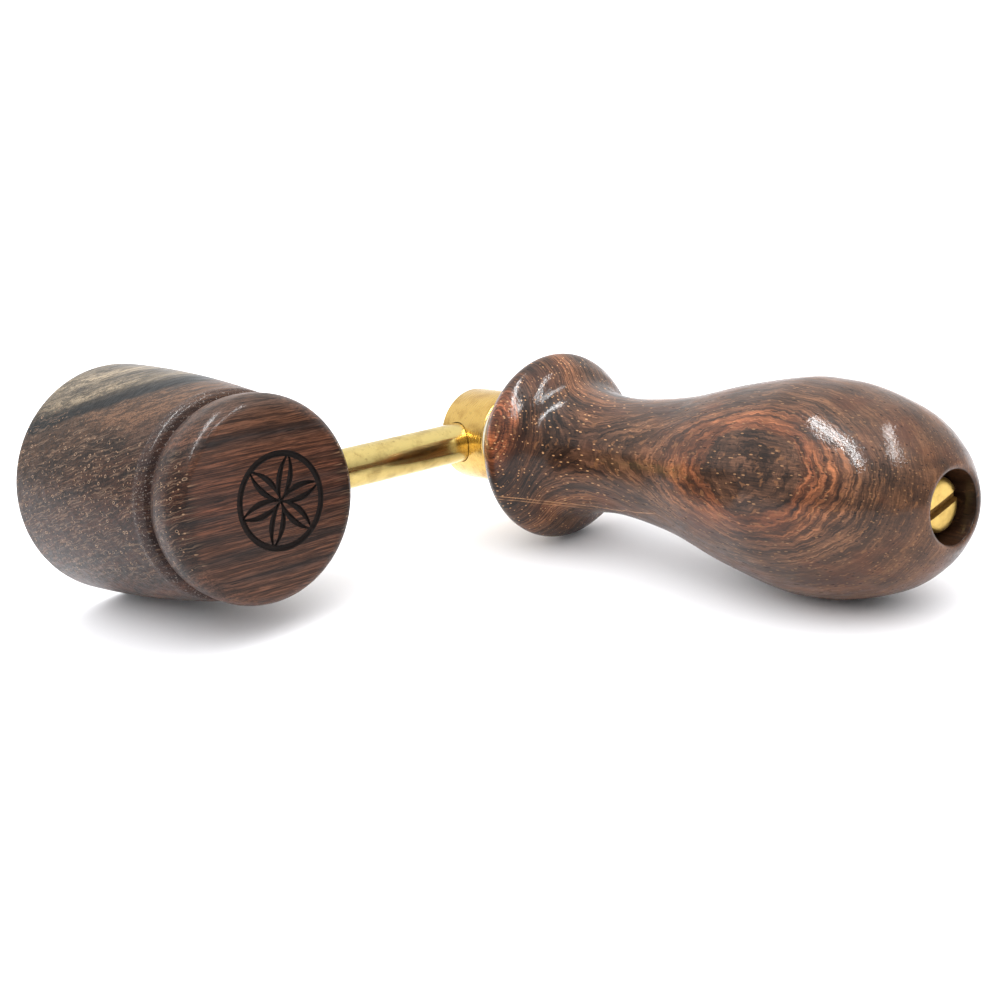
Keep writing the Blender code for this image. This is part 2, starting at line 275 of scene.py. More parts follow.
def carve(piece, cutter):
    """Cuts the cutter out of the piece, takes over the cutter's material there, and removes it."""
    boolean = piece.modifiers.new("carve", "BOOLEAN")
    boolean.operation = "DIFFERENCE"
    boolean.object = cutter
    boolean.solver = "EXACT"
    boolean.use_self = True
    boolean.material_mode = "TRANSFER"
    bpy.context.view_layer.update()
    graph = bpy.context.evaluated_depsgraph_get()
    carved = bpy.data.meshes.new_from_object(piece.evaluated_get(graph))
    clean(carved)
    piece.modifiers.clear()
    piece.data = carved
    bpy.data.objects.remove(cutter)


def quarter(start, end, steps, rises_first):
    """Points on a quarter ellipse between two (radius, height) corners, without the start.
    It leaves the start along the radius, or along the height if rises_first."""
    points = []
    for step in range(1, steps + 1):
        angle = math.pi / 2 * step / steps
        there, back = math.sin(angle), 1 - math.cos(angle)
        across, along = (back, there) if rises_first else (there, back)
        radius = start[0] + (end[0] - start[0]) * across
        height = start[1] + (end[1] - start[1]) * along
        points.append((radius, height))
    return points


def spline_value(a, b, c, d, t):
    """The value at the share t of the way from b to c, on a Catmull-Rom spline."""
    line = 2 * b + (c - a) * t
    curve = (2 * a - 5 * b + 4 * c - d) * t**2 + (3 * b - a - 3 * c + d) * t**3
    return (line + curve) / 2


def smooth_outline(knots, pieces):
    """Points on a smooth curve through the knots, with this many pieces between two knots."""
    ends = [knots[0], *knots, knots[-1]]
    points = []
    for four in zip(ends, ends[1:], ends[2:], ends[3:]):
        for step in range(pieces):
            points.append([spline_value(*values, step / pieces) for values in zip(*four)])
    points.append(knots[-1])
    return points


# Material nodes -------------------------------------------


def srgb(red, green, blue):
    """A colour given as 0 to 255 on a screen, as Blender's linear colour."""
    linear = []
    for value in (red, green, blue):
        share = value / 255
        linear.append(share / 12.92 if share <= 0.04045 else ((share + 0.055) / 1.055) ** 2.4)
    return (*linear, 1.0)


# How softly a share of the cells is picked out of the rest.
PICK_EDGE = 0.02


class Nodes:
    """The nodes of one tree. Each method adds a node and returns what comes out of it."""

    def __init__(self, tree):
        self.tree = tree

    def node(self, kind, inputs, **settings):
        made = self.tree.nodes.new(kind)
        for name, value in settings.items():
            setattr(made, name, value)
        for key, value in inputs.items():
            self.feed(made.inputs[key], value)
        return made

    def feed(self, socket, value):
        if isinstance(value, bpy.types.NodeSocket):
            self.tree.links.new(value, socket)
        else:
            socket.default_value = value

    def vector(self, operation, *values):
        inputs = dict(enumerate(values))
        made = self.node("ShaderNodeVectorMath", inputs, operation=operation)
        scalar = operation in ("DOT_PRODUCT", "LENGTH")
        return made.outputs["Value" if scalar else "Vector"]

    def math(self, operation, *values):
        inputs = dict(enumerate(values))
        return self.node("ShaderNodeMath", inputs, operation=operation).outputs[0]

    def plus(self, first, second):
        return self.math("ADD", first, second)

    def times(self, first, second):
        return self.math("MULTIPLY", first, second)

    def combine(self, x, y, z):
        return self.node("ShaderNodeCombineXYZ", {0: x, 1: y, 2: z}).outputs[0]

    def separate(self, vector):
        return self.node("ShaderNodeSeparateXYZ", {0: vector}).outputs

    def noise(self, vector, scales, detail=2.0, roughness=0.5):
        """Noise from 0 to 1 with this many features per millimetre along each axis."""
        inputs = {
            "Vector": self.vector("MULTIPLY", vector, scales),
            "Scale": 1.0,
            "Detail": detail,
            "Roughness": roughness,
        }
        return self.node("ShaderNodeTexNoise", inputs).outputs[0]

    def cells(self, vector, scales, share):
        """Voronoi cells: the distance from each cell's middle, and 1 in this share of the cells.
        A scale of 0 along the third axis makes them columns."""
        kind = "2D" if scales[2] == 0.0 else "3D"
        inputs = {"Vector": self.vector("MULTIPLY", vector, scales), "Scale": 1.0}
        made = self.node("ShaderNodeTexVoronoi", inputs, voronoi_dimensions=kind)
        lot = self.separate(made.outputs["Color"])[0]
        pick = self.steps(lot, share - PICK_EDGE, share + PICK_EDGE, 1.0, 0.0)
        return made.outputs["Distance"], pick

    def steps(self, value, low, high, to_low=0.0, to_high=1.0):
        """to_low below low, to_high above high and a smooth step between."""
        inputs = {"Value": value, 1: low, 2: high, 3: to_low, 4: to_high}
        made = self.node("ShaderNodeMapRange", inputs, interpolation_type="SMOOTHSTEP")
        return made.outputs[0]

    def ramp(self, value, low, high, stops):
        """Colours at these values between low and high."""
        share = self.node("ShaderNodeMapRange", {"Value": value, 1: low, 2: high}).outputs[0]
        made = self.node("ShaderNodeValToRGB", {0: share})
        elements = made.color_ramp.elements
        while len(elements) < len(stops):
            elements.new(0.5)
        for element, (at, colour) in zip(elements, stops):
            element.position = (at - low) / (high - low)
            element.color = colour
        return made.outputs["Color"]

    def mix(self, share, first, second, blend="MIX"):
        made = self.node("ShaderNodeMix", {0: share}, data_type="RGBA", blend_type=blend)
        self.feed(made.inputs[6], first)
        self.feed(made.inputs[7], second)
        return made.outputs[2]

    def shade(self, colour, factor):
        """The colour times a factor."""
        return self.mix(1.0, colour, self.combine(factor, factor, factor), "MULTIPLY")

    def toned(self, colour, tone):
        """The colour times another, in linear light."""
        return self.mix(1.0, colour, (*tone, 1.0), "MULTIPLY")

    def bumps(self, *layers):
        """The surface raised in turn by each (height from 0 to 1, depth in millimetres)."""
        inputs = {}
        for height, depth in layers:
            inputs.update({"Height": height, "Distance": depth * MM, "Strength": 1.0})
            inputs["Normal"] = self.node("ShaderNodeBump", inputs).outputs[0]
        return inputs["Normal"]


class Recipe(Nodes):
    """The nodes of one material, with places given in a piece's own frame."""

    def __init__(self, name, frame_matrix):
        self.frame = frame_matrix
        self.material = bpy.data.materials.new(name)
        self.material.use_nodes = True
        super().__init__(self.material.node_tree)
        self.shader = self.tree.nodes["Principled BSDF"]

    def set(self, **values):
        """Sets the shader's sockets; a name's underscores stand for spaces."""
        for name, value in values.items():
            self.feed(self.shader.inputs[name.replace("_", " ")], value)

    def place(self):
        """The place in the piece's own frame, in millimetres."""
        inputs = {
            "Vector": self.node("ShaderNodeTexCoord", {}).outputs["Object"],
            "Location": self.frame.to_translation(),
            "Rotation": self.frame.to_euler(),
            "Scale": (MM, MM, MM),
        }
        return self.node("ShaderNodeMapping", inputs, vector_type="TEXTURE").outputs[0]


# Wood -----------------------------------------------------


# A place in a piece's wood, in millimetres: how far across the growth layers it lies once they are
# bent, how far along the fibres, and the whole place before and after the bending.
Wood = namedtuple("Wood", "layer along straight bent")

GRIP_LAYERS = (-0.9455, 0.3256, -0.045)
GRIP_FIBRES = (0.0, 0.0, 1.0)
HUB_LAYERS = (0.0, 0.96, -0.28)
HUB_FIBRES = (1.0, 0.0, 0.0)
# Oil and age turn the fresh wood's colours darker and redder.
GRIP_TONE = (0.70, 0.555, 0.435)
HUB_TONE = (0.65, 0.565, 0.49)


def grain_place(r, layers, fibres):
    """The place in the wood: across the growth layers, within a layer, and along the fibres."""
    layers = Vector(layers).normalized()
    fibres = (Vector(fibres) - layers * layers.dot(Vector(fibres))).normalized()
    side = fibres.cross(layers)
    place = r.place()
    return [r.vector("DOT_PRODUCT", place, tuple(way)) for way in (layers, side, fibres)]


def wander(r, vector, scales, amount, detail=2.0):
    """A smooth random distance of up to about half the amount either way, in millimetres."""
    return r.times(r.math("SUBTRACT", r.noise(vector, scales, detail), 0.5), amount)


def spots(r, distance, pick, size):
    """1 in the middle of the picked cells, falling to 0 at this distance."""
    return r.times(r.steps(distance, size * 0.6, size, 1.0, 0.0), pick)


def dots(r, vector, scales, reach, share):
    """Spots in this share of the cells, with their reach in millimetres across."""
    distance, pick = r.cells(vector, scales, share)
    return spots(r, distance, pick, reach * scales[0])


def bulge_layers(r, layer):
    """The layers round the bulge's eye: dark heart, orange rings, then brown."""
    return r.ramp(layer, -25.0, 20.0, [
        (-25.0, srgb(84, 60, 46)),
        (-14.0, srgb(96, 70, 53)),
        (-8.0, srgb(74, 54, 42)),
        (-3.5, srgb(98, 72, 55)),
        (0.5, srgb(110, 82, 62)),
        (3.0, srgb(84, 63, 50)),
        (5.5, srgb(110, 82, 62)),
        (7.5, srgb(82, 61, 49)),
        (9.5, srgb(102, 76, 58)),
        (11.0, srgb(78, 59, 48)),
        (12.4, srgb(104, 78, 60)),
        (13.6, srgb(86, 64, 51)),
        (14.6, srgb(122, 88, 66)),
        (15.3, srgb(94, 64, 47)),
        (15.8, srgb(136, 92, 64)),
        (16.15, srgb(92, 60, 43)),
        (16.5, srgb(136, 90, 62)),
        (16.8, srgb(92, 58, 42)),
        (17.1, srgb(126, 82, 57)),
        (17.3, srgb(88, 60, 45)),
        (17.5, srgb(70, 52, 42)),
        (20.0, srgb(76, 57, 46)),
    ])


def flange_layers(r, layer):
    """The layers round the flange's small eye and through the waist."""
    return r.ramp(layer, -25.0, 20.0, [
        (-25.0, srgb(84, 60, 46)),
        (-12.0, srgb(98, 71, 54)),
        (-6.0, srgb(76, 56, 44)),
        (-1.0, srgb(92, 69, 53)),
        (3.0, srgb(74, 56, 44)),
        (6.0, srgb(122, 88, 66)),
        (7.8, srgb(126, 90, 66)),
        (9.0, srgb(86, 63, 50)),
        (10.3, srgb(104, 76, 58)),
        (11.6, srgb(76, 56, 46)),
        (13.0, srgb(66, 51, 43)),
        (14.4, srgb(96, 68, 51)),
        (15.6, srgb(62, 47, 40)),
        (16.6, srgb(72, 52, 42)),
        (17.1, srgb(142, 92, 64)),
        (17.5, srgb(96, 58, 42)),
        (17.8, srgb(150, 96, 66)),
        (18.15, srgb(98, 58, 42)),
        (18.5, srgb(152, 96, 66)),
        (20.0, srgb(134, 82, 56)),
    ])


def scratch(r, across, along, start, end):
    """A fine scratch where a surface cuts this plane, between two places along the grip."""
    line = r.steps(r.math("ABSOLUTE", across), 0.03, 0.13, 1.0, 0.0)
    begins = r.steps(along, start, start + 2.0)
    ends = r.steps(along, end - 6.0, end, 1.0, 0.0)
    return r.times(line, r.times(begins, ends))


def grip_scratches(r):
    """Two pale scratches that start side by side at the flange and run along the waist."""
    x, y, z = r.separate(r.place())
    y = r.plus(y, wander(r, r.place(), (0.12, 0.12, 0.12), 0.9, 1.0))
    tilted = r.plus(r.times(x, 0.3), r.times(z, -0.05))
    across = r.plus(r.plus(y, tilted), 12.78)
    long_one = scratch(r, across, z, 18.5, 61.0)
    short_one = scratch(r, r.plus(across, 0.55), z, 19.5, 40.0)
    marks = r.math("MAXIMUM", long_one, r.times(short_one, 0.7))
    worn = r.steps(r.noise(r.place(), (0.7, 0.7, 0.7), 3.0), 0.36, 0.54, 0.2, 1.0)
    return r.times(marks, worn)


def grip_grain(r):
    """The grip's wood. Its layers bend least at the flange, and drift towards the bulge's eye."""
    across, within, along = grain_place(r, GRIP_LAYERS, GRIP_FIBRES)
    straight = r.combine(across, within, along)
    slow = wander(r, straight, (0.03, 0.05, 0.022), 1.2, 1.0)
    wave = wander(r, straight, (0.10, 0.20, 0.12), 1.0)
    zigzag = wander(r, straight, (0.25, 0.9, 0.75), 0.5)
    bends = r.times(r.plus(slow, r.plus(wave, zigzag)), r.steps(along, 25.0, 34.0, 0.4, 1.0))
    drift = r.steps(along, 18.0, 27.0, 0.0, 1.3)
    layer = r.plus(r.plus(across, bends), drift)
    layer = r.plus(layer, r.steps(along, 34.0, 56.0, 1.0, 2.6))
    return Wood(layer, along, straight, r.combine(layer, within, along))


def grip_lines(r, wood, bulge):
    """The fine growth lines, as a factor on the colour. They fade on the bulge, off its eye."""
    calm = r.times(bulge, r.steps(wood.layer, 8.0, 14.5, 0.62, 0.0))
    lines = r.noise(wood.bent, (3.6, 0.16, 0.09), 3.0, 0.65)
    fine = r.noise(wood.bent, (6.5, 0.3, 0.16), 2.0, 0.6)
    lines = r.times(r.steps(lines, 0.39, 0.61, 0.44, 1.56), r.steps(fine, 0.40, 0.60, 0.68, 1.32))
    return r.plus(lines, r.times(r.math("SUBTRACT", 1.0, lines), calm))


def grip_streaks(r, wood, heart):
    """The streaks along the fibres, as a factor on the colour: strongest in the eye's heart."""
    streaks = r.noise(wood.straight, (2.2, 3.4, 0.11), 3.0, 0.65)
    depth = r.plus(0.5, r.times(heart, 0.5))
    return r.plus(1.0, r.times(r.steps(streaks, 0.34, 0.66, -0.42, 0.46), depth))


def grip_patches(r, wood, heart, colour):
    """Red-brown clouds outside the heart, darker zones, and short pale lines in the layers."""
    clouds = r.steps(r.noise(wood.straight, (0.15, 0.17, 0.09), 3.0), 0.50, 0.70, 0.0, 0.5)
    clouds = r.times(clouds, r.math("SUBTRACT", 1.0, heart))
    colour = r.mix(clouds, colour, srgb(98, 58, 38))
    dark = r.noise(wood.straight, (0.11, 0.2, 0.06), 2.0)
    colour = r.shade(colour, r.steps(dark, 0.36, 0.6, 0.60, 1.14))
    pale = r.noise(wood.bent, (2.6, 0.55, 0.35), 2.0, 0.6)
    return r.mix(r.steps(pale, 0.60, 0.70, 0.0, 0.55), colour, srgb(150, 112, 80))


def grip_flecks(r, wood, bulge, heart):
    """Pale flecks: bright on the flange and the waist, faint on the bulge, less so in its heart."""
    shifted = r.vector("ADD", wood.straight, (31.0, 17.0, 5.0))
    flecks = dots(r, shifted, (1.45, 1.45, 0.42), 0.14, 0.84)
    return r.times(flecks, r.plus(r.steps(bulge, 0.0, 1.0, 0.95, 0.26), r.times(heart, 0.2)))


def painted_recess_shade(r):
    """Painted shade: the wood near the axis, in the recess and the bore, darkened as a factor on the colour."""
    x, y, _ = r.separate(r.place())
    from_axis = r.vector("LENGTH", r.combine(x, y, 0.0))
    return r.steps(from_axis, 6.22, 6.55, 0.38, 1.0)


def grip_surface(r, wood, pores):
    """Ribs and open pores under a coat of hard oil, which lies in slow waves and is pocked."""
    roughness = r.steps(r.noise(wood.bent, (1.2, 1.2, 0.2), 3.0), 0.3, 0.7, 0.36, 0.50)
    roughness = r.plus(roughness, r.times(pores, 0.25))
    ribs = r.noise(wood.straight, (3.0, 3.0, 0.45), 3.0, 0.65)
    waves = r.noise(wood.straight, (0.35, 0.35, 0.2), 1.0)
    pocks = r.noise(wood.straight, (1.5, 1.5, 0.9), 3.0, 0.7)
    normal = r.bumps((ribs, 0.04), (pores, -0.06), (waves, 0.08))
    gloss = r.bumps((waves, 0.05), (pocks, 0.045))
    r.set(Roughness=roughness, Normal=normal, Specular_IOR_Level=0.13)
    r.set(Coat_Weight=0.40, Coat_Roughness=0.05, Coat_Normal=gloss)


def make_grip_wood():
    """Rosewood whose growth layers face the bulge's side, so that they show there as rings."""
    r = Recipe("grip_rosewood", GRIP)
    wood = grip_grain(r)
    bulge = r.steps(wood.along, 42.0, 56.0)
    heart = r.steps(wood.layer, 17.1, 17.6)
    colour = r.mix(bulge, flange_layers(r, wood.layer), bulge_layers(r, wood.layer))
    colour = r.shade(colour, grip_lines(r, wood, bulge))
    colour = r.shade(colour, grip_streaks(r, wood, heart))
    colour = grip_patches(r, wood, heart, colour)
    pores = dots(r, wood.straight, (1.5, 1.5, 0.20), 0.15, 0.5)
    colour = r.mix(r.times(pores, 0.75), colour, srgb(30, 20, 16))
    colour = r.mix(grip_flecks(r, wood, bulge, heart), colour, srgb(226, 186, 144))
    colour = r.mix(r.times(grip_scratches(r), 0.8), colour, srgb(216, 176, 136))
    # Painted shade in the recess round the screw's head, multiplied into the colour.
    colour = r.shade(r.toned(colour, GRIP_TONE), painted_recess_shade(r))
    r.set(Base_Color=colour)
    grip_surface(r, wood, pores)
    return r.material


def hub_grain(r):
    """The hub's wood, with its layers a little bent."""
    across, within, along = grain_place(r, HUB_LAYERS, HUB_FIBRES)
    straight = r.combine(across, within, along)
    slow = wander(r, straight, (0.04, 0.05, 0.02), 1.6, 1.0)
    wave = wander(r, straight, (0.16, 0.22, 0.05), 1.2)
    ripple = wander(r, straight, (0.5, 0.85, 0.15), 0.7)
    layer = r.plus(r.plus(across, slow), r.plus(wave, ripple))
    return Wood(layer, along, straight, r.combine(layer, within, along))


def hub_stripes(r, wood):
    """How strong the blue-black stripes are: a little less on the side away from the arm."""
    stripes = [(at, (level, level, level, 1.0)) for at, level in (
        (-24.0, 0.0), (-17.6, 0.1), (-15.4, 0.75), (-13.6, 0.0), (-11.5, 0.85), (-9.6, 0.1),
        (-7.7, 0.7), (-6.2, 0.05), (-4.1, 0.95), (-2.8, 0.15), (-1.0, 0.7), (0.8, 0.0),
        (3.0, 0.3), (5.2, 0.0), (6.8, 0.2), (8.6, 0.9), (10.2, 0.0), (15.0, 0.35), (18.0, 0.0),
    )]
    stripes = r.separate(r.ramp(wood.layer, -24.0, 18.0, stripes))[0]
    broken = r.noise(wood.straight, (0.8, 0.5, 0.05), 2.0)
    stripes = r.times(stripes, r.steps(broken, 0.3, 0.6, 0.55, 1.05))
    return r.times(stripes, r.steps(wood.along, -20.5, -12.0, 0.8, 1.0))


def hub_colours(r, layer):
    """The hub's layers: red-brown, then a narrow blue-black band, then olive-brown."""
    return r.ramp(layer, -27.0, 38.0, [
        (-27.0, srgb(88, 62, 48)),
        (-15.0, srgb(98, 67, 52)),
        (-9.0, srgb(90, 60, 46)),
        (-3.0, srgb(98, 62, 47)),
        (4.0, srgb(92, 60, 46)),
        (9.0, srgb(100, 68, 52)),
        (14.0, srgb(84, 62, 50)),
        (18.0, srgb(106, 79, 60)),
        (21.8, srgb(98, 75, 58)),
        (22.4, srgb(70, 56, 46)),
        (22.6, srgb(10, 12, 15)),
        (23.9, srgb(14, 17, 20)),
        (24.8, srgb(58, 54, 46)),
        (26.0, srgb(134, 126, 109)),
        (28.4, srgb(94, 89, 79)),
        (30.0, srgb(150, 142, 124)),
        (32.0, srgb(100, 95, 84)),
        (34.0, srgb(154, 145, 128)),
        (38.0, srgb(134, 126, 111)),
    ])


def cove_marks(r):
    """Where the cove is, and its torn fibres: raised in the bump, and pale specks in the colour that are partly
    their own paler colour and partly painted glints.
    """
    z = r.separate(r.place())[2]
    zone = r.times(r.steps(z, -2.0, -1.3), r.steps(z, 2.6, 4.6, 1.0, 0.0))
    torn_and_glints = r.noise(r.place(), (2.4, 2.4, 3.6), 3.0, 0.75)
    return zone, r.times(zone, r.steps(torn_and_glints, 0.585, 0.65))


def end_grain(r, wood, ends, colour):
    """The fibres' cut ends: darker, with wavy pale bands, pale specks and pores in pale rings.
    Gives the colour and where the pores are."""
    colour = r.shade(colour, r.steps(ends, 0.0, 1.0, 1.0, 0.43))
    bands = r.noise(wood.bent, (4.2, 0.30, 0.03), 2.0, 0.5)
    bands = r.times(r.steps(bands, 0.57, 0.62), ends)
    colour = r.mix(r.times(bands, 0.34), colour, srgb(138, 110, 88))
    specks = dots(r, wood.straight, (0.95, 0.95, 0.0), 0.17, 0.34)
    colour = r.mix(r.times(specks, r.times(ends, 0.7)), colour, srgb(158, 124, 96))
    distance, pick = r.cells(wood.straight, (0.36, 0.36, 0.0), 0.62)
    faint = r.steps(r.noise(wood.straight, (0.5, 0.5, 0.03), 2.0), 0.38, 0.60, 0.25, 1.0)
    rings = spots(r, distance, pick, 0.1296)
    colour = r.mix(r.times(rings, r.times(ends, faint)), colour, srgb(178, 144, 116))
    holes = r.times(r.times(r.steps(distance, 0.055, 0.085, 1.0, 0.0), pick), ends)
    return r.mix(holes, colour, srgb(10, 8, 7)), holes


def hub_surface(r, wood, holes, torn_and_glints):
    """Ribs, open pores and torn fibres under a thinner coat of oil than the grip's."""
    roughness = r.steps(r.noise(wood.bent, (1.2, 1.2, 0.2), 3.0), 0.3, 0.7, 0.40, 0.56)
    roughness = r.plus(roughness, r.times(holes, 0.3))
    ribs = r.noise(wood.straight, (3.0, 3.0, 0.25), 3.0, 0.65)
    waves = r.noise(wood.straight, (0.4, 0.4, 0.2), 1.0)
    normal = r.bumps((ribs, 0.05), (holes, -0.15), (torn_and_glints, 0.08), (waves, 0.08))
    gloss = r.bumps((waves, 0.06), (ribs, 0.04))
    r.set(Roughness=roughness, Normal=normal, Specular_IOR_Level=0.13)
    r.set(Coat_Weight=0.22, Coat_Roughness=0.08, Coat_Normal=gloss)


def make_hub_wood():
    """Rosewood with its fibres along the arm: stripes on the face, end grain on the sides."""
    r = Recipe("hub_rosewood", HUB)
    wood = hub_grain(r)
    ends = r.steps(r.math("ABSOLUTE", wood.along), 13.5, 17.5, 0.03, 1.0)
    colour = r.mix(hub_stripes(r, wood), hub_colours(r, wood.layer), srgb(34, 33, 35))
    lines = r.noise(wood.bent, (2.3, 0.30, 0.04), 3.0, 0.7)
    colour = r.shade(colour, r.steps(lines, 0.42, 0.58, 0.52, 1.44))
    streaks = r.noise(wood.straight, (4.6, 3.8, 0.22), 3.0, 0.72)
    colour = r.shade(colour, r.steps(streaks, 0.40, 0.60, 0.58, 1.42))
    colour, holes = end_grain(r, wood, ends, r.toned(colour, HUB_TONE))
    shifted = r.vector("ADD", wood.straight, (7.0, 19.0, 3.0))
    dashes = dots(r, shifted, (0.9, 0.9, 0.09), 0.14, 0.55)
    colour = r.mix(r.times(dashes, 0.9), colour, srgb(14, 10, 9))
    cove, torn_and_glints = cove_marks(r)
    colour = r.mix(r.times(cove, 0.45), colour, srgb(62, 51, 50))
    # Pale specks on the torn fibres: partly the fibres' own paler colour, partly painted glints.
    colour = r.mix(r.times(torn_and_glints, 0.6), colour, srgb(182, 168, 158))
    r.set(Base_Color=colour)
    hub_surface(r, wood, holes, torn_and_glints)
    return r.material


def make_burnt_wood():
    """The floor and walls of the engraving, charred by the burning that cut it."""
    r = Recipe("burnt_wood", HUB)
    wood = hub_grain(r)
    char = r.noise(wood.bent, (2.2, 1.4, 0.12), 3.0, 0.6)
    colour = r.ramp(char, 0.3, 0.7, [(0.3, srgb(12, 9, 8)), (0.7, srgb(34, 24, 20))])
    ribs = r.noise(wood.straight, (3.0, 3.0, 0.5), 2.0)
    r.set(Base_Color=colour, Roughness=r.steps(char, 0.3, 0.7, 0.62, 0.8))
    r.set(Normal=r.bumps((ribs, 0.06)), Specular_IOR_Level=0.2)
    return r.material


# Metal and nylon ------------------------------------------


def make_brass(name, place_frame, colour, dull, marks, roughness, tarnish=0.5):
    """Brass with tool marks: marks gives how many fine lines per millimetre run across each axis."""
    r = Recipe(name, place_frame)
    place = r.place()
    clouds = r.steps(r.noise(place, (0.28, 0.28, 0.28), 3.0, 0.6), 0.42, 0.72)
    clouds = r.times(clouds, tarnish)
    stains = r.noise(place, (0.9, 0.9, 0.9), 4.0, 0.65)
    tint = r.mix(clouds, colour, dull)
    tint = r.mix(r.times(r.steps(stains, 0.56, 0.74), tarnish), tint, dull)
    fine = r.noise(place, marks, 3.0, 0.6)
    rough = r.steps(fine, 0.3, 0.7, roughness - 0.06, roughness + 0.08)
    rough = r.plus(rough, r.times(clouds, 0.15))
    normal = r.bumps((fine, 0.0025), (stains, 0.002))
    r.set(Base_Color=tint, Roughness=rough, Normal=normal, Metallic=1.0)
    return r.material


def make_slot_painted_shade():
    """The screw's slot, in darker, blotchy brass: painted shade in the slot."""
    r = Recipe("slot_painted_shade", GRIP)
    shade_blotches = r.noise(r.place(), (1.5, 1.5, 1.5), 3.0, 0.6)
    colour = r.ramp(shade_blotches, 0.3, 0.7, [(0.3, srgb(116, 84, 38)), (0.7, srgb(160, 122, 62))])
    r.set(Base_Color=colour, Roughness=r.steps(shade_blotches, 0.3, 0.7, 0.4, 0.6), Metallic=0.6)
    return r.material


def make_steel():
    """Blackened steel, worn brighter in clouds."""
    r = Recipe("dark_steel", HUB)
    place = r.place()
    clouds = r.noise(place, (0.9, 0.9, 0.9), 4.0, 0.6)
    colour = r.ramp(clouds, 0.3, 0.7, [(0.3, srgb(62, 60, 60)), (0.7, srgb(104, 102, 100))])
    grit = r.noise(place, (4.0, 4.0, 4.0), 2.0)
    r.set(Base_Color=colour, Roughness=r.steps(clouds, 0.3, 0.7, 0.34, 0.5))
    r.set(Normal=r.bumps((grit, 0.01)), Metallic=1.0)
    return r.material


def make_nylon():
    """Off-white nylon that lets a little light in."""
    r = Recipe("washer_nylon", GRIP)
    place = r.place()
    clouds = r.noise(place, (0.5, 0.5, 0.5), 3.0)
    colour = r.ramp(clouds, 0.3, 0.7, [(0.3, srgb(186, 184, 170)), (0.7, srgb(212, 210, 198))])
    grain = r.noise(place, (3.0, 3.0, 3.0), 2.0)
    r.set(Base_Color=colour, Roughness=r.steps(clouds, 0.3, 0.7, 0.38, 0.5))
    r.set(Normal=r.bumps((grain, 0.01)))
    r.set(Subsurface_Weight=0.2, Subsurface_Radius=(0.002, 0.002, 0.0016))
    return r.material


# Pieces ---------------------------------------------------


def hub_outline():
    """The hub's section: engraved face, rounded head, cove, shoulder, barrel, back and socket."""
    face_edge = (HEAD_FACE_RADIUS, HEAD_FACE)
    widest = (HEAD_RADIUS, HEAD_WIDEST)
    outline = [(0.0, HEAD_FACE), (HEAD_FACE_RADIUS - FACE_BORDER, HEAD_FACE), face_edge]
    outline += quarter(face_edge, widest, 16, False)
    outline += quarter(widest, (COVE_RADIUS, COVE_TOP), 14, True)
    for groove in range(GROOVES):
        height = COVE_TOP - GROOVE_START - GROOVE_STEP * groove
        outline.append((COVE_RADIUS - GROOVE_DEPTH, height))
        outline.append((COVE_RADIUS + RIDGE_HEIGHT, height - GROOVE_STEP / 2))
    lip = (SHOULDER_RADIUS - SHOULDER_ROUNDING, SHOULDER_LIP)
    outline.append(lip)
    outline += quarter(lip, (SHOULDER_RADIUS, SHOULDER), 8, False)
    outline += barrel_outline()
    return outline


def barrel_outline():
    """The hub's section from the shoulder down: slightly bulging barrel, back and core's socket."""
    length = SHOULDER - HUB_BACK
    bulge = HUB_MIDDLE_RADIUS - (SHOULDER_RADIUS + HUB_BACK_RADIUS) / 2
    outline = []
    for step in range(1, 33):
        t = step / 32
        radius = SHOULDER_RADIUS + (HUB_BACK_RADIUS - SHOULDER_RADIUS) * t
        radius += 4 * bulge * t * (1 - t)
        outline.append((radius, SHOULDER - length * t * (1 - BACK_EDGE_SHARE)))
    edge = BACK_EDGE_SHARE * length
    outline += quarter(outline[-1], (HUB_BACK_RADIUS - edge, HUB_BACK), 6, True)
    socket = CORE_RADIUS + GAP
    outline.append((socket + SOCKET_CHAMFER, HUB_BACK))
    outline.append((socket, HUB_BACK + SOCKET_CHAMFER))
    outline.append((socket, CORE_TOP + GAP))
    outline.append((0.0, CORE_TOP + GAP))
    return outline


def stroke(points, widths):
    """Vertices and faces of a cutter that follows the points with these widths, as a closed bar."""
    vertices = []
    count = len(points)
    for index, point in enumerate(points):
        ahead = points[min(index + 1, count - 1)]
        behind = points[max(index - 1, 0)]
        side = Vector((behind.y - ahead.y, ahead.x - behind.x)).normalized()
        for share, height in CUT_SECTION:
            corner = point + side * widths[index] * share
            vertices.append((corner.x, corner.y, height))
    faces = [(0, 1, 2, 3)]
    for index in range(count - 1):
        here = 4 * index
        for edge in range(4):
            after = (edge + 1) % 4
            faces.append((here + edge + 4, here + after + 4, here + after, here + edge))
    last = 4 * (count - 1)
    faces.append((last + 3, last + 2, last + 1, last))
    return vertices, faces


def ring_stroke():
    """The same for the full circle round the petals."""
    vertices = []
    for step in range(RING_STEPS):
        angle = math.tau * step / RING_STEPS
        for share, height in CUT_SECTION:
            here = ROSETTE_RADIUS + RING_LINE * share
            vertices.append((here * math.cos(angle), here * math.sin(angle), height))
    faces = []
    for step in range(RING_STEPS):
        here, there = 4 * step, 4 * ((step + 1) % RING_STEPS)
        for edge in range(4):
            after = (edge + 1) % 4
            faces.append((there + after, there + edge, here + edge, here + after))
    return vertices, faces


def petal_arc(turn):
    """Points and line widths of a third of a circle through the middle, centred on the circle."""
    centre = Vector((math.cos(turn), math.sin(turn))) * ROSETTE_RADIUS
    points = []
    widths = []
    for step in range(ARC_STEPS + 1):
        share = step / ARC_STEPS
        angle = turn + math.pi + math.radians(120.0) * (share - 0.5)
        points.append(centre + Vector((math.cos(angle), math.sin(angle))) * ROSETTE_RADIUS)
        widths.append(THIN_LINE + LINE_SWELL * math.sin(math.tau * share) ** 2)
    return points, widths


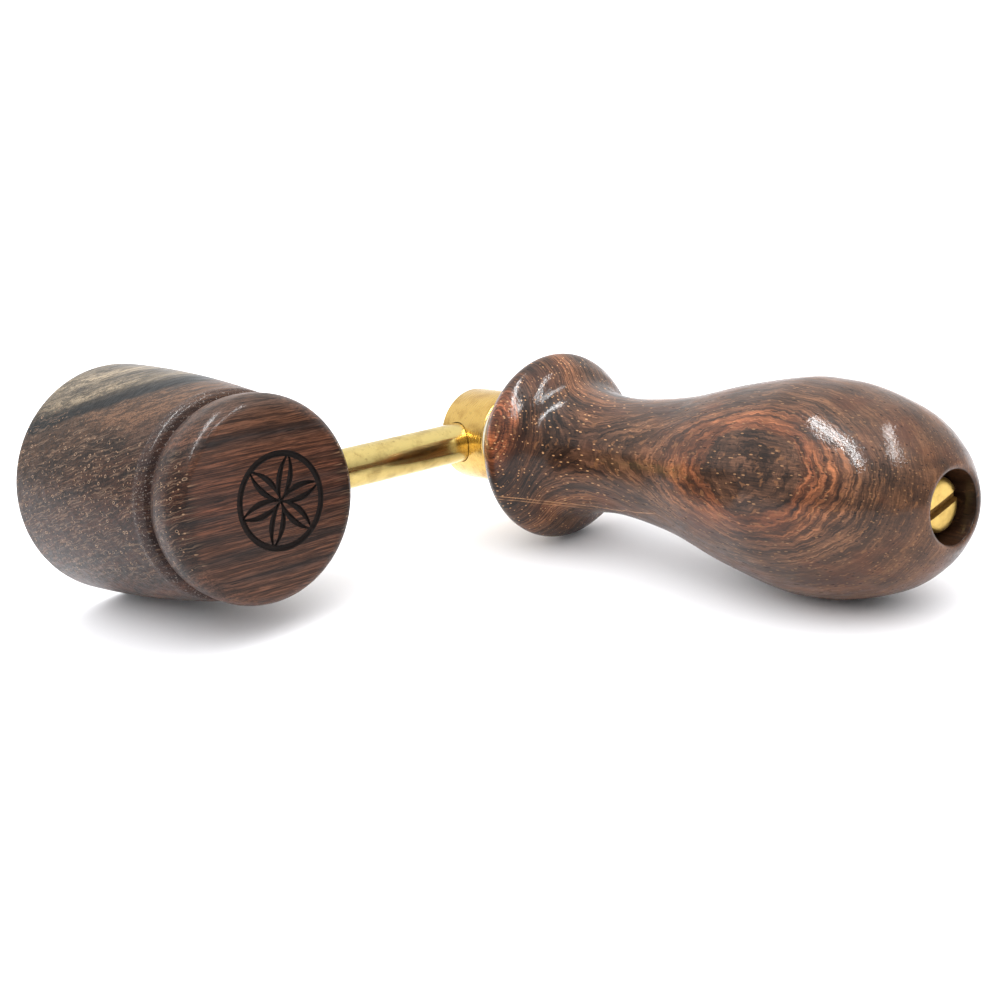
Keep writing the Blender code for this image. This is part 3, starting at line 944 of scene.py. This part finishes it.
def rosette_cutter(material):
    """A plain compass rosette: six petals drawn with the circle's own radius, inside the circle."""
    vertices, faces = ring_stroke()
    for petal in range(ROSETTE_PETALS):
        turn = math.radians(360.0 * petal / ROSETTE_PETALS + ROSETTE_TURN)
        arc_vertices, arc_faces = stroke(*petal_arc(turn))
        start = len(vertices)
        vertices += arc_vertices
        faces += [tuple(start + corner for corner in face) for face in arc_faces]
    place = HUB @ Matrix.Translation((*ROSETTE_MIDDLE, HEAD_FACE))
    return new_piece("rosette_cutter", vertices, faces, material, place)


def bar_cutter(radius, low, high, material, place):
    """A round bar from low to high on the axis of its place, to drill a hole with."""
    outline = [(0.0, high), (radius, high), (radius, low), (0.0, low)]
    return turned("bar_cutter", outline, material, place, SMALL_STEPS)


def finish_piece(piece, body, slot, *nodes):
    smooth(piece)
    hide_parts(*nodes)
    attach(piece, body)


def make_hub():
    wood = make_hub_wood()
    hub = turned("hub_turned", hub_outline(), wood, HUB, HUB_STEPS)
    hole = bar_cutter(HUB_HOLE_RADIUS, HUB_HOLE_START, HUB_HOLE_END, wood, HUB @ ALONG_ARM)
    carve(hub, hole)
    carve(hub, rosette_cutter(make_burnt_wood()))
    finish_piece(hub, "crank", "hub_wood", "hub")


def thread_radius(radius, height, angle):
    """The clamp screw's thread, cut as a helix in the core's bore."""
    if radius > THREAD_RADIUS or height > THREAD_END or height < THREAD_START:
        return radius
    turn = (height / THREAD_PITCH - angle / math.tau) % 1.0
    tooth = min(1.0, max(0.0, 1.6 * abs(2 * turn - 1) - 0.3))
    return radius - THREAD_DEPTH * tooth


def core_outline():
    """The core's section: round outside, and a chamfered bore that ends in the drill's point."""
    inner = CORE_RADIUS - CORE_EDGE
    outline = [(0.0, CORE_TOP), (inner, CORE_TOP), (CORE_RADIUS, CORE_TOP - CORE_EDGE)]
    outline += [(CORE_RADIUS, HUB_BACK + CORE_EDGE), (inner, HUB_BACK)]
    mouth = HUB_BACK + THREAD_CHAMFER
    outline += [(THREAD_RADIUS + THREAD_CHAMFER, HUB_BACK), (THREAD_RADIUS, mouth)]
    for row in range(1, THREAD_ROWS):
        height = mouth + (THREAD_END - mouth) * row / THREAD_ROWS
        outline.append((THREAD_RADIUS, height))
    outline += [(THREAD_RADIUS, THREAD_END + THREAD_RUNOUT), (0.0, THREAD_END + DRILL_POINT)]
    return outline


def make_core():
    brass = make_brass(
        "core_brass", HUB, srgb(206, 176, 112), srgb(140, 110, 66), (1.2, 1.2, 6.0), 0.30
    )
    core = turned("core_threaded", core_outline(), brass, HUB, SMALL_STEPS, reshape=thread_radius)
    start, end = ARM_INNER_END - GAP, CORE_RADIUS + REACH
    carve(core, bar_cutter(CORE_HOLE_RADIUS, start, end, brass, HUB @ ALONG_ARM))
    finish_piece(core, "crank", "core_brass", "hub_core")


def make_arm():
    brass = make_brass(
        "arm_brass", CRANK, srgb(226, 202, 130), srgb(162, 132, 76), (0.08, 2.6, 2.6), 0.15
    )
    inner = ARM_RADIUS - ARM_EDGE
    outline = [(0.0, ARM_OUTER_END), (inner, ARM_OUTER_END)]
    outline += [(ARM_RADIUS, ARM_OUTER_END - ARM_EDGE), (ARM_RADIUS, ARM_INNER_END + ARM_EDGE)]
    outline += [(inner, ARM_INNER_END), (0.0, ARM_INNER_END)]
    arm = turned("arm_rod", outline, brass, CRANK @ ALONG_ARM, SMALL_STEPS)
    finish_piece(arm, "crank", "arm_brass", "arm")


def make_collar():
    brass = make_brass(
        "collar_brass", GRIP, srgb(222, 184, 106), srgb(160, 118, 58), (0.3, 0.3, 4.0), 0.22
    )
    inner = COLLAR_RADIUS - COLLAR_EDGE
    outline = [(0.0, COLLAR_FRONT), (inner, COLLAR_FRONT)]
    outline += quarter(outline[-1], (COLLAR_RADIUS, COLLAR_FRONT - COLLAR_EDGE), 5, False)
    outline.append((COLLAR_RADIUS, COLLAR_BACK + COLLAR_EDGE))
    outline += quarter(outline[-1], (inner, COLLAR_BACK), 5, True)
    outline.append((0.0, COLLAR_BACK))
    collar = turned("collar_turned", outline, brass, GRIP, COLLAR_STEPS)
    to_arm = Matrix.Rotation(math.radians(-90.0), 4, "Y")
    hole_end = COLLAR_RADIUS + COLLAR_HOLE_REACH
    hole = bar_cutter(COLLAR_HOLE_RADIUS, COLLAR_HOLE_DEPTH, hole_end, brass, GRIP @ to_arm)
    carve(collar, hole)
    bore_end = COLLAR_FRONT + COLLAR_BORE_REACH
    carve(collar, bar_cutter(COLLAR_BORE_RADIUS, COLLAR_BORE_END, bore_end, brass, GRIP))
    finish_piece(collar, "crank", "collar_brass", "collar")


def make_washer():
    low = COLLAR_FRONT + END_PLAY
    high = low + WASHER_THICKNESS
    inner = WASHER_RADIUS - WASHER_EDGE
    outline = [(WASHER_BORE_RADIUS, high), (inner, high)]
    outline += quarter(outline[-1], (WASHER_RADIUS, high - WASHER_EDGE), 4, False)
    outline.append((WASHER_RADIUS, low + WASHER_EDGE))
    outline += quarter(outline[-1], (inner, low), 4, True)
    outline.append((WASHER_BORE_RADIUS, low))
    washer = turned("washer_turned", outline, make_nylon(), GRIP, WASHER_STEPS, ring=True)
    finish_piece(washer, "crank", "washer_nylon", "thrust_washer")


def make_grip():
    knots = [(share * GRIP_LENGTH, radius * MM) for share, radius in GRIP_OUTLINE]
    outside = [(radius, GRIP_BACK + along) for along, radius in smooth_outline(knots, 8)]
    outside.reverse()
    outline = [(GRIP_BORE, RECESS_FLOOR), (RECESS_RADIUS - RECESS_EDGE, RECESS_FLOOR)]
    outline.append((RECESS_RADIUS, RECESS_FLOOR + RECESS_EDGE))
    outline.append((RECESS_RADIUS, GRIP_FRONT - RECESS_EDGE))
    outline += quarter(outline[-1], outside[0], 4, True)[:-1]
    outline += [*outside, (GRIP_BORE, GRIP_BACK)]
    grip = turned("grip_turned", outline, make_grip_wood(), GRIP, GRIP_STEPS, ring=True)
    finish_piece(grip, "grip", "grip_wood", "grip")


def make_head_washer():
    low = RECESS_FLOOR + END_PLAY
    high = low + HEAD_WASHER_THICKNESS
    outer, edge = HEAD_WASHER_RADIUS, HEAD_WASHER_EDGE
    brass = make_brass(
        "head_washer_brass", GRIP, srgb(180, 146, 90), srgb(110, 80, 44), (0.4, 0.4, 3.0), 0.30
    )
    outline = [(WASHER_BORE_RADIUS, high), (outer - edge, high), (outer, high - edge)]
    outline += [(outer, low + edge), (outer - edge, low), (WASHER_BORE_RADIUS, low)]
    washer = turned("head_washer_turned", outline, brass, GRIP, SMALL_STEPS, ring=True)
    finish_piece(washer, "crank", "head_washer_brass", "head_washer")


def screw_outline(under, top):
    """The screw's section: slightly crowned pan head, shank and chamfered end."""
    crown = (CROWN_RADIUS, top - CROWN_FALL)
    outline = [(0.0, top), (CROWN_FLAT, top), crown]
    outline += quarter(crown, (SCREW_HEAD_RADIUS, top - CROWN_ROUNDING), 10, False)
    outline += [(SCREW_HEAD_RADIUS, under), (AXLE_RADIUS, under)]
    outline += [(AXLE_RADIUS, AXLE_END + AXLE_CHAMFER), (AXLE_RADIUS - AXLE_CHAMFER, AXLE_END)]
    outline.append((0.0, AXLE_END))
    return outline


def slot_cutter(top):
    """A bar across the screw's head, as deep as the slot."""
    shape = bmesh.new()
    bmesh.ops.create_cube(shape, size=2.0)
    half = Vector((2 * SCREW_HEAD_RADIUS, SLOT_WIDTH / 2, SLOT_DEPTH))
    bmesh.ops.scale(shape, vec=half, verts=shape.verts)
    mesh = bpy.data.meshes.new("slot_cutter")
    shape.to_mesh(mesh)
    shape.free()
    # The slot's darker brass is painted shade.
    mesh.materials.append(make_slot_painted_shade())
    turn = Matrix.Rotation(SLOT_TURN, 4, "Z")
    mesh.transform(GRIP @ Matrix.Translation((0.0, 0.0, top)) @ turn)
    cutter = bpy.data.objects.new("slot_cutter", mesh)
    bpy.context.scene.collection.objects.link(cutter)
    return cutter


def make_axle_screw():
    brass = make_brass(
        "axle_brass", GRIP, srgb(206, 174, 98), srgb(150, 118, 60), (1.2, 1.2, 1.2), 0.34, 0.35
    )
    under = RECESS_FLOOR + 2 * END_PLAY + HEAD_WASHER_THICKNESS
    top = under + SCREW_HEAD_HEIGHT
    screw = turned("axle_screw_slotted", screw_outline(under, top), brass, GRIP, SMALL_STEPS)
    carve(screw, slot_cutter(top))
    finish_piece(screw, "crank", "axle_brass", "axle_screw")


def dress_hidden_nodes():
    """The bushes and the grub screw keep their CAD meshes, which only show down their bores."""
    dull, bright = srgb(140, 104, 58), srgb(200, 162, 96)
    bush = make_brass("bush_brass", GRIP, bright, dull, (0.4, 0.4, 3.0), 0.32)
    steel = make_steel()
    for name, material in (("bush_back", bush), ("bush_front", bush), ("arm_grub_screw", steel)):
        node = frame["nodes"][name]
        node.data.materials.clear()
        node.data.materials.append(material)


# Studio ---------------------------------------------------


FLOOR_SIZE = 12.0
FLOOR_DROP = 0.02 * MM
# How far the soft boxes hang from the object, in metres.
BOX_DISTANCE = 0.62
# The camera that took the photograph: its lens in millimetres, its shift in shares of the picture,
# its place in metres, and the ways that it looks and that run to the picture's right.
CAMERA_LENS = 65.166
CAMERA_SHIFT = (-0.06, -0.04)
CAMERA_PLACE = (-0.19077, -0.24627, 0.11617)
CAMERA_LOOK = (0.62339, 0.72948, -0.2815)
CAMERA_RIGHT = (0.72649, -0.67349, -0.13645)


def make_floor():
    """A large white floor, a hair below the object so that the two never coincide."""
    r = Recipe("studio_floor", Matrix())
    clouds = r.noise(r.place(), (0.002, 0.002, 0.002), 1.0)
    shade = r.ramp(clouds, 0.2, 0.8, [(0.2, srgb(235, 235, 238)), (0.8, srgb(239, 239, 241))])
    r.set(Base_Color=shade, Roughness=0.6, Specular_IOR_Level=0.2)
    size = FLOOR_SIZE
    corners = [(-size, -size, 0.0), (size, -size, 0.0), (size, size, 0.0), (-size, size, 0.0)]
    place = Matrix.Translation((0.0, 0.0, -FLOOR_DROP))
    new_piece("floor", corners, [(0, 1, 2, 3)], r.material, place)


def soft_box(name, centre, target, along, length, width, energy):
    """A soft box that faces the target, its long side running along a direction. It only shows as
    gloss: the tent and its roof light the matte share."""
    light = bpy.data.lights.new(name, "AREA")
    light.shape = "RECTANGLE"
    light.size = length
    light.size_y = width
    light.energy = energy
    away = (centre - target).normalized()
    along = (along - away * along.dot(away)).normalized()
    lamp = bpy.data.objects.new(name, light)
    lamp.matrix_world = placed(along, away, centre)
    lamp.visible_diffuse = False
    bpy.context.scene.collection.objects.link(lamp)


def make_world():
    """A white tent that is open on the camera's side: brightest overhead and behind the object."""
    world = bpy.data.worlds.new("studio")
    bpy.context.scene.world = world
    world.use_nodes = True
    n = Nodes(world.node_tree)
    n.tree.nodes.clear()
    way = n.node("ShaderNodeTexCoord", {}).outputs["Generated"]
    facing = n.vector("DOT_PRODUCT", way, Vector((0.40, 0.55, 0.73)).normalized())
    level = n.steps(facing, -0.35, 0.75, 0.50, 1.10)
    tent = {"Color": (0.99, 0.995, 1.0, 1.0), "Strength": level}
    seen = {"Color": (1.0, 1.0, 1.0, 1.0), "Strength": 1.5}
    inputs = {
        0: n.node("ShaderNodeLightPath", {}).outputs["Is Camera Ray"],
        1: n.node("ShaderNodeBackground", tent).outputs[0],
        2: n.node("ShaderNodeBackground", seen).outputs[0],
    }
    blend = n.node("ShaderNodeMixShader", inputs).outputs[0]
    n.node("ShaderNodeOutputWorld", {0: blend})


def make_sky_light():
    """The tent's roof, far away and wide, which only adds to the matte share."""
    light = bpy.data.lights.new("roof", "SUN")
    light.energy = 5.0
    light.angle = math.radians(150.0)
    lamp = bpy.data.objects.new("roof", light)
    away = Vector((0.15, 0.25, 1.0)).normalized()
    side = Vector((0.0, 1.0, 0.0)).cross(away).normalized()
    lamp.matrix_world = placed(side, away, away)
    lamp.visible_glossy = False
    bpy.context.scene.collection.objects.link(lamp)


def make_lights():
    """Two long narrow soft boxes overhead that run along the camera's line of sight."""
    target = Vector((0.03, -0.08, 0.02))
    along = Vector((-0.68, -0.70, -0.1))
    left = target + Vector((-0.30, 0.10, 0.86)).normalized() * BOX_DISTANCE
    right = target + Vector((0.12, -0.28, 0.92)).normalized() * BOX_DISTANCE
    soft_box("left_box", left, target, along, 0.60, 0.036, 4.8)
    soft_box("right_box", right, target, along, 0.46, 0.028, 2.6)
    make_sky_light()


def make_camera():
    """The photograph's view: 16 degrees down, 40 degrees round and tilted 8 degrees."""
    camera = bpy.data.cameras.new("camera")
    camera.sensor_width = 36.0
    camera.lens = CAMERA_LENS
    camera.shift_x, camera.shift_y = CAMERA_SHIFT
    camera.clip_start = 0.01
    camera.clip_end = 50.0
    lens = bpy.data.objects.new("camera", camera)
    right = Vector(CAMERA_RIGHT).normalized()
    back = -Vector(CAMERA_LOOK).normalized()
    lens.matrix_world = placed(right, back, Vector(CAMERA_PLACE))
    bpy.context.scene.collection.objects.link(lens)
    bpy.context.scene.camera = lens


make_hub()
make_core()
make_arm()
make_collar()
make_washer()
make_grip()
make_head_washer()
make_axle_screw()
dress_hidden_nodes()
make_floor()
make_world()
make_lights()
make_camera()
bpy.context.scene.view_settings.view_transform = "Standard"
